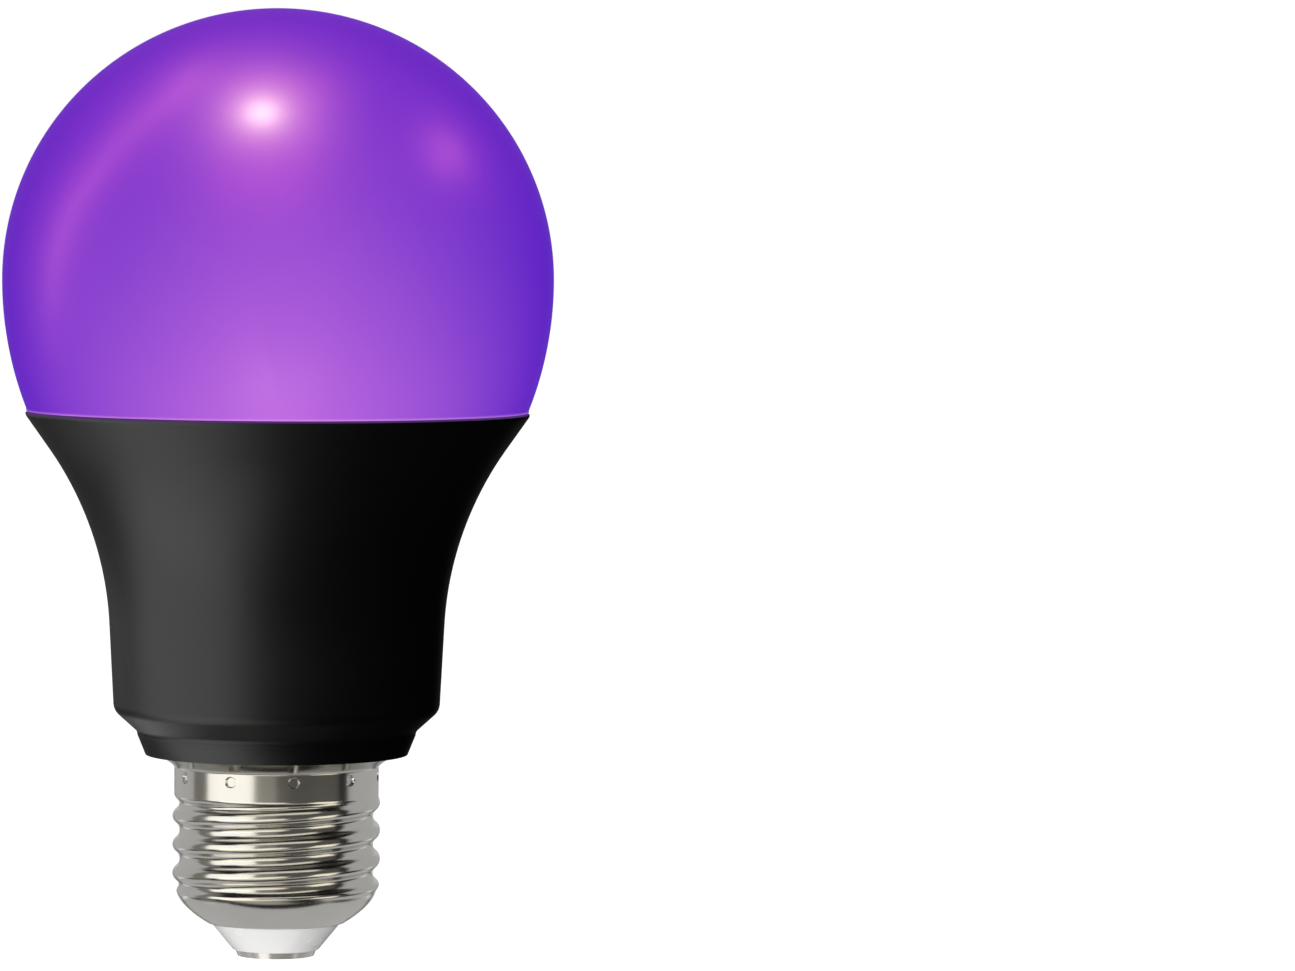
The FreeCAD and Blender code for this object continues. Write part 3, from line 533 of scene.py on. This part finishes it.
# Node, finish, light and dark tone, roughness, IOR, then cloud size, grain size and grain depth
innerBodies = [
    # Cured silicone: milky and rubbery, with a soft shine
    ("dome_seal", "siliconeBead", "#E4E4E8", "#D6D6DA", (0.35, 0.5), 1.41, 3.0, 0.6, 0.01),
    # Screen-printed solder mask: a clean white lacquer that throws the light forward
    ("led_board", "whiteSolderMask", "#F0F1F2", "#E4E6E8", (0.3, 0.4), 1.5, 5.0, 0.4, 0.004),
    # Moulded nylon: cream and half matt
    ("board_socket", "mouldedNylon", "#F2EFE6", "#E8E4D8", (0.4, 0.5), 1.53, 2.0, 0.3, 0.005),
    # Pressed phenolic paper: tan, with a dull resin skin
    ("driver_board", "paperPhenolicBoard", "#B98A4E", "#A47640", (0.4, 0.55), 1.5, 3.0, 0.25, 0.006),
    # Heat-shrunk sleeves: thin, tight and glossy
    ("input_capacitor", "shrunkBlackSleeve", "#1A1B20", "#101116", (0.25, 0.35), 1.5, 3.0, 0.5, 0.006),
    ("output_capacitor", "shrunkBlueSleeve", "#1D2A48", "#16213C", (0.25, 0.35), 1.5, 3.0, 0.5, 0.006),
    # Sintered ferrite: dark grey ceramic, dry and finely pitted
    ("inductor_core", "sinteredFerrite", "#33322F", "#252422", (0.6, 0.75), 1.9, 1.0, 0.15, 0.01),
    # Dipped fireproof lacquer: grey green and dull
    ("fuse_resistor", "fireproofLacquer", "#6F9C8C", "#5E8A7B", (0.5, 0.62), 1.5, 1.5, 0.2, 0.01),
    # Moulded epoxy: near black with a sanded skin
    ("bridge_rectifier", "mouldedEpoxy", "#1E1E20", "#151517", (0.5, 0.65), 1.55, 1.5, 0.12, 0.006),
    ("driver_chip", "mouldedEpoxyFine", "#202022", "#171719", (0.45, 0.6), 1.55, 1.5, 0.1, 0.005),
    # Poured silicone with phosphor: soft yellow and glossy
    ("led", "yellowPhosphorGel", "#F2E8B0", "#E8DA94", (0.2, 0.3), 1.41, 1.0, 0.2, 0.003),
]
for name, *look in innerBodies:
    innerFinishes[name] = evenBody(*look)
for name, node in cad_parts.items():
    kind = name.rstrip("0123456789").rstrip("_")  # led_01 to led_12 share one finish
    if kind in innerFinishes:
        coverWith(innerFinishes[kind], node)
print("finishes made:", len(bpy.data.materials))


studio = {
    # Metres from here on, apart from the lens and its sensor, which are in millimetres
    "floorHalf": 3.0, "floorDrop": 0.00002, "floorColour": "#F4F4F4", "floorLift": 0.92,
    "ambient": 0.22, "backdropEdge": 0.88, "backdropFull": 0.96, "backdropLevel": 0.12,
    "cameraPlace": (0.0, -0.85, 0.102), "cameraAim": (0.0468, 0.0, 0.0598),
    "cameraRoll": 0.4,  # degrees, about the line of sight
    "lens": 186.9, "sensorWidth": 36.0, "clipEnd": 20.0,
}

half = studio["floorHalf"]
floorMesh = bpy.data.meshes.new("paleFloor")
floorMesh.from_pydata([(-half, -half, 0), (half, -half, 0), (half, half, 0), (-half, half, 0)],
                      [], [(0, 1, 2, 3)])
floor = bpy.data.objects.new("paleFloor", floorMesh)
bpy.context.scene.collection.objects.link(floor)
floor.location.z = -studio["floorDrop"]
floor.visible_glossy = False  # so that cards and lamps may stand lower than the floor
floor.visible_shadow = False


def paleSweep():
    # Matt white paper: the front lamp lights it and leaves the bulb's shadow on it, and the camera
    # sees it lifted to white. From below it is clear, so that the foot of the bulb can be looked at.
    finish, tree, output, place = startFinish("mattWhitePaper")
    path = addNode(tree, "ShaderNodeLightPath", {})
    matt = addNode(tree, "ShaderNodeBsdfDiffuse", {"Color": linear(studio["floorColour"])})
    seen = addNode(tree, "ShaderNodeMath", {"operation": "MULTIPLY", 1: studio["floorLift"]},
                   {0: path.outputs["Is Camera Ray"]})
    lift = addNode(tree, "ShaderNodeEmission", {"Color": linear("#FFFFFF")},
                   {"Strength": seen.outputs[0]})
    both = addNode(tree, "ShaderNodeAddShader", {}, {0: matt.outputs[0], 1: lift.outputs[0]})
    under = addNode(tree, "ShaderNodeNewGeometry", {})
    clear = addNode(tree, "ShaderNodeBsdfTransparent", {})
    sides = addNode(tree, "ShaderNodeMixShader", {},
                    {0: under.outputs["Backfacing"], 1: both.outputs[0], 2: clear.outputs[0]})
    tree.links.new(sides.outputs[0], output.inputs["Surface"])
    return finish


coverWith(paleSweep(), floor)


def whiteStudio():
    # The camera sees white all round. Gloss sees black with a dim patch of backdrop behind the bulb,
    # and matt surfaces get a low even light.
    world = bpy.data.worlds.new("whiteStudio")
    bpy.context.scene.world = world
    world.use_nodes = True
    sky = world.node_tree
    sky.nodes.clear()
    output = addNode(sky, "ShaderNodeOutputWorld", {})
    path = addNode(sky, "ShaderNodeLightPath", {})
    direction = addNode(sky, "ShaderNodeTexCoord", {}).outputs["Generated"]
    ahead = addNode(sky, "ShaderNodeVectorMath", {"operation": "DOT_PRODUCT", 1: (0, 1, 0)},
                    {0: direction})
    backdrop = addNode(sky, "ShaderNodeMapRange", {
        "interpolation_type": "SMOOTHSTEP", "From Min": studio["backdropEdge"],
        "From Max": studio["backdropFull"], "To Min": 0.0, "To Max": studio["backdropLevel"],
    }, {"Value": ahead.outputs["Value"]})
    seen = addNode(sky, "ShaderNodeMath", {"operation": "MAXIMUM"}, {
        0: path.outputs["Is Glossy Ray"], 1: path.outputs["Is Transmission Ray"]})
    matt = addNode(sky, "ShaderNodeMix", {"data_type": "FLOAT", 2: studio["ambient"]},
                   {0: seen.outputs[0], 3: backdrop.outputs["Result"]})
    level = addNode(sky, "ShaderNodeMix", {"data_type": "FLOAT", 3: 1.0},
                    {0: path.outputs["Is Camera Ray"], 2: matt.outputs[0]})
    background = addNode(sky, "ShaderNodeBackground", {"Color": linear("#FFFFFF")},
                         {"Strength": level.outputs[0]})
    sky.links.new(background.outputs[0], output.inputs["Surface"])


whiteStudio()


def litGroup(name, pieces):
    # The pieces that a lamp lights when it is meant for them alone
    group = bpy.data.collections.new(name)
    for piece in pieces:
        group.objects.link(piece)
    return group


forGlobe = litGroup("lampsForGlobe", [dome])
forHousing = litGroup("lampsForHousing", [body])
forMetal = litGroup("lampsForMetal", [screwCap, tip])
forNose = litGroup("lampsForNose", [nose])
forTip = litGroup("lampsForTip", [tip])
forAllButGlobe = litGroup("lampsForAllButGlobe", [floor, body, screwCap, tip, nose])


def placeLamp(name, outward, along, away, height, size, level, sees, group, colour):
    # A flat soft lamp that faces the point at that height on the bulb's axis, with its long side
    # turned along the given direction. Its power is its level, which is how bright it looks, times
    # its area times pi.
    light = bpy.data.lights.new(name, "AREA")
    light.shape = "RECTANGLE"
    light.size, light.size_y = size
    light.energy = level * size[0] * size[1] * math.pi
    light.color = linear(colour)[:3]
    lamp = bpy.data.objects.new(name, light)
    bpy.context.scene.collection.objects.link(lamp)
    facing = outward.normalized()
    upright = (along - facing * along.dot(facing)).normalized()
    turned = Matrix((upright.cross(facing), upright, facing)).transposed().to_4x4()
    turned.translation = facing * away + Vector((0, 0, height))
    lamp.matrix_world = turned
    lamp.visible_camera = False
    lamp.visible_glossy = sees != "matt"
    lamp.visible_diffuse = sees != "gloss"
    lamp.light_linking.receiver_collection = group


def softLamps(group, sees, height, rows):
    # Upright lamps for one group of pieces, which face a height on the bulb's axis. Each row has a
    # name, an angle to the right of the camera and one above the horizon in degrees, the distance,
    # the lamp's width and height, its level and its colour.
    for name, turn, rise, away, size, level, colour in rows:
        across, up = math.radians(turn), math.radians(rise)
        outward = Vector((math.sin(across) * math.cos(up), -math.cos(across) * math.cos(up),
                          math.sin(up)))
        placeLamp(name, outward, Vector((0, 0, 1)), away, height, size, level, sees, group, colour)


band = {
    # Angles to the right of the camera and above the horizon, in degrees, from foot to crown
    "turns": (-114.5, -105.5, -102, -97.5, -102, -106, -131, -148),
    "rises": (-14, 0, 19, 35, 50, 61, 62, 59.4),
    "count": 16, "fading": 4, "away": 2.0, "width": 0.18, "level": 19.0, "height": 0.085,
}


def bandLamps(name, group, colour):
    # A bent strip of flat lamps end to end, through the given angles, which fades at both ends
    along = np.linspace(0, len(band["turns"]) - 1, band["count"] + 1)
    turn = np.radians(np.interp(along, np.arange(len(band["turns"])), band["turns"]))
    rise = np.radians(np.interp(along, np.arange(len(band["rises"])), band["rises"]))
    ends = np.stack([np.sin(turn) * np.cos(rise), -np.cos(turn) * np.cos(rise), np.sin(rise)], axis=-1)
    number = np.arange(band["count"])
    fades = easeStep((number + 1) / band["fading"])
    fades = fades * easeStep((band["count"] - number) / band["fading"])
    for place, fade in enumerate(fades.tolist()):
        first, last = Vector(ends[place]), Vector(ends[place + 1])
        placeLamp(name + str(place + 1), first + last, last - first, band["away"], band["height"],
                  (band["width"], band["away"] * (last - first).length), band["level"] * fade,
                  "gloss", group, colour)


white = "#FFFFFF"
cream = "#FFFAF0"
rose = "#FF90A8"
coolWhite = "#FAFBFF"

# Broad light from the front for the matt surfaces of all but the globe
softLamps(forAllButGlobe, "matt", 0.06, [
    ("frontFill", 0, 8, 1.0, (0.5, 0.5), 1.1, white),
])

# The globe is lit from low in front, close by, and a little at its middle. It mirrors one small
# overhead lamp with a wide rosy one round it, a rosy spot on its right and a bent band on its left.
softLamps(forGlobe, "matt", 0.034, [("globeFill", 0, 0, 0.09, (0.05, 0.03), 14.0, white)])
softLamps(forGlobe, "matt", 0.093, [("globeCore", 0, 0, 0.058, (0.02, 0.05), 0.62, "#FFD7F5")])
softLamps(forGlobe, "gloss", 0.085, [
    ("overheadGlint", -20, 73.5, 0.6, (0.026, 0.026), 2250, "#F2FFCC"),
    ("overheadHalo", -8, 66, 0.6, (0.38, 0.8), 4.5, "#FF7898"),
    ("rightSpot", 97, 38, 0.6, (0.22, 0.1), 13.0, rose),
])
bandLamps("leftBand", forGlobe, rose)

# The black housing mirrors a tall softbox on its left and one under it, which light it too, then dim
# ones behind its left edge, and a bright one above that catches its rim
softLamps(forHousing, "both", 0.04, [
    ("housingSoftbox", -66, 6, 0.5, (0.95, 0.9), 1.22, white),
    ("housingLowBox", -66, -50, 0.5, (0.62, 0.36), 1.35, white),
])
softLamps(forHousing, "gloss", 0.03, [("housingBackLow", -152, -38, 0.5, (0.2, 0.2), 1.2, white)])
softLamps(forHousing, "gloss", 0.04, [("housingEdgeBox", -132, 22, 0.5, (0.36, 0.62), 0.34, white)])
softLamps(forHousing, "gloss", 0.06, [("housingRimBox", -42, 58, 0.5, (0.36, 0.3), 13.0, white)])

# The small tent round the metal: a bright box on the left, grey cards on both sides and behind, a
# dark front with a soft step beside the box, and bright and grey cards above and below
softLamps(forMetal, "gloss", 0.03, [
    ("capBrightBox", -54, 2, 0.5, (0.56, 0.44), 1.25, "#FFFDF6"),
    ("capStepCard", -12, 0, 0.5, (0.22, 0.6), 0.24, cream),
    ("capFrontCard", 38, 0, 0.5, (0.72, 0.6), 0.085, cream),
    ("capGapCard", -95, 0, 0.5, (0.21, 1.0), 0.17, cream),
    ("capLeftCard", -131, 8, 0.5, (0.48, 0.62), 0.46, white),
    ("capRightCard", 122, 8, 0.5, (0.72, 0.62), 0.44, white),
    ("capBackCard", 180, 12, 0.5, (0.4, 0.6), 0.42, white),
    ("capUpFront", 0, 40, 0.5, (0.9, 0.2), 0.8, "#FFFAEC"),
    ("capLowFront", -28, -28, 0.5, (0.74, 0.2), 1.0, "#FFF8E4"),
    ("capLowRight", 60, -29, 0.5, (0.26, 0.2), 1.15, "#FFF8E4"),
    ("capLowGrey", -8, -46, 0.5, (0.9, 0.11), 0.44, cream),
    ("capFloorCard", 180, -66, 0.4, (1.0, 0.72), 0.46, white),
])

# The contact's rounded rim mirrors a wide dim card below and a small brighter one low on its left
softLamps(forTip, "gloss", 0.0, [
    ("tipCard", 0, -50, 0.5, (1.3, 0.5), 0.28, white),
    ("tipGlint", -46, -60, 0.45, (0.2, 0.3), 0.9, white),
])

# The white insulator: soft light from the left front, and less from the right and from behind
softLamps(forNose, "matt", 0.03, [
    ("noseSide", 95, -5, 0.5, (0.4, 0.4), 1.6, coolWhite),
    ("noseBack", 180, -5, 0.5, (0.5, 0.4), 2.0, coolWhite),
    ("noseFill", -26, -10, 0.5, (0.5, 0.5), 3.8, coolWhite),
])

camera = bpy.data.objects.new("camera", bpy.data.cameras.new("camera"))
bpy.context.scene.collection.objects.link(camera)
bpy.context.scene.camera = camera
camera.location = studio["cameraPlace"]
sight = Vector(studio["cameraAim"]) - Vector(studio["cameraPlace"])
roll = Matrix.Rotation(math.radians(studio["cameraRoll"]), 3, "Z")
camera.rotation_euler = (sight.to_track_quat("-Z", "Y").to_matrix() @ roll).to_euler()
camera.data.lens = studio["lens"]
camera.data.sensor_width = studio["sensorWidth"]
camera.data.clip_end = studio["clipEnd"]

bpy.context.scene.view_settings.view_transform = "Standard"
print("studio ready")
